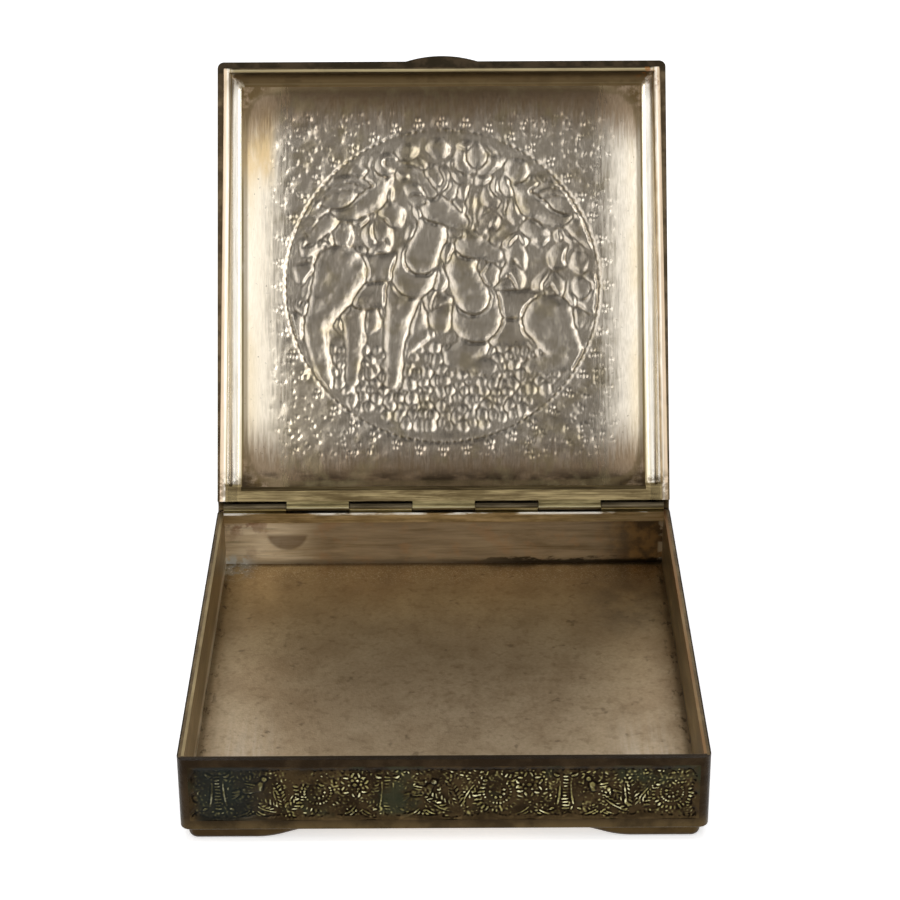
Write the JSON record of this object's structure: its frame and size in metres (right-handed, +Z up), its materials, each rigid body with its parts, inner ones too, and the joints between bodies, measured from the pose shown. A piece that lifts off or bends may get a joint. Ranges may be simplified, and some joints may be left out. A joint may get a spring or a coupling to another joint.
{
  "type": "hinged table box",
  "caption": "Square silver table box with chased frieze walls, a shallow coved lid on a full-width knuckle hinge, a crescent thumbpiece and bracket feet.",
  "frame": {"origin": "middle of the square footprint of the body, on the surface that the feet stand on", "axes": "+X to the right, +Y from the front to the hinge at the back, +Z up; the lid is open at rest"},
  "size_m": [0.14, 0.2092, 0.15],
  "materials": {
    "chased_silver": "dark tarnished, chased",
    "foot_silver": "tarnished, smooth",
    "lining_silver": "brushed, tarnished",
    "floor_silver": "satin, mottled",
    "hinge_silver": "satin, tarnished",
    "lid_panel_silver": "satin, repousse",
    "lid_edge_silver": "satin"
  },
  "bodies": {
    "base": {"wall_front": "chased_silver", "wall_right": "chased_silver", "wall_back": "chased_silver", "wall_left": "chased_silver", "lining_front": "lining_silver", "lining_right": "lining_silver", "lining_back": "lining_silver", "lining_left": "lining_silver", "floor_plate": "floor_silver", "foot_front_left": "foot_silver", "foot_front_right": "foot_silver", "foot_back_right": "foot_silver", "foot_back_left": "foot_silver", "hinge_bearer": "hinge_silver", "base_knuckle_1": "hinge_silver", "base_knuckle_2": "hinge_silver", "base_knuckle_3": "hinge_silver", "base_knuckle_4": "hinge_silver", "hinge_pin": "hinge_silver"},
    "lid": {"lid_panel": "lid_panel_silver", "lid_moulding_front": "lid_edge_silver", "lid_moulding_left": "lid_edge_silver", "lid_moulding_right": "lid_edge_silver", "lid_hinge_bar": "lid_edge_silver", "lid_bezel_front": "lid_edge_silver", "lid_bezel_left": "lid_edge_silver", "lid_bezel_right": "lid_edge_silver", "lid_knuckle_1": "hinge_silver", "lid_knuckle_2": "hinge_silver", "lid_knuckle_3": "hinge_silver", "thumbpiece": "lid_edge_silver"}
  },
  "joints": [
    {"name": "lid_hinge", "type": "hinge", "parent": "base", "child": "lid", "pos_m": [0, 0.0692, 0.0272], "axis": [1, 0, 0], "range_deg": [0, 119.7]}
  ]
}
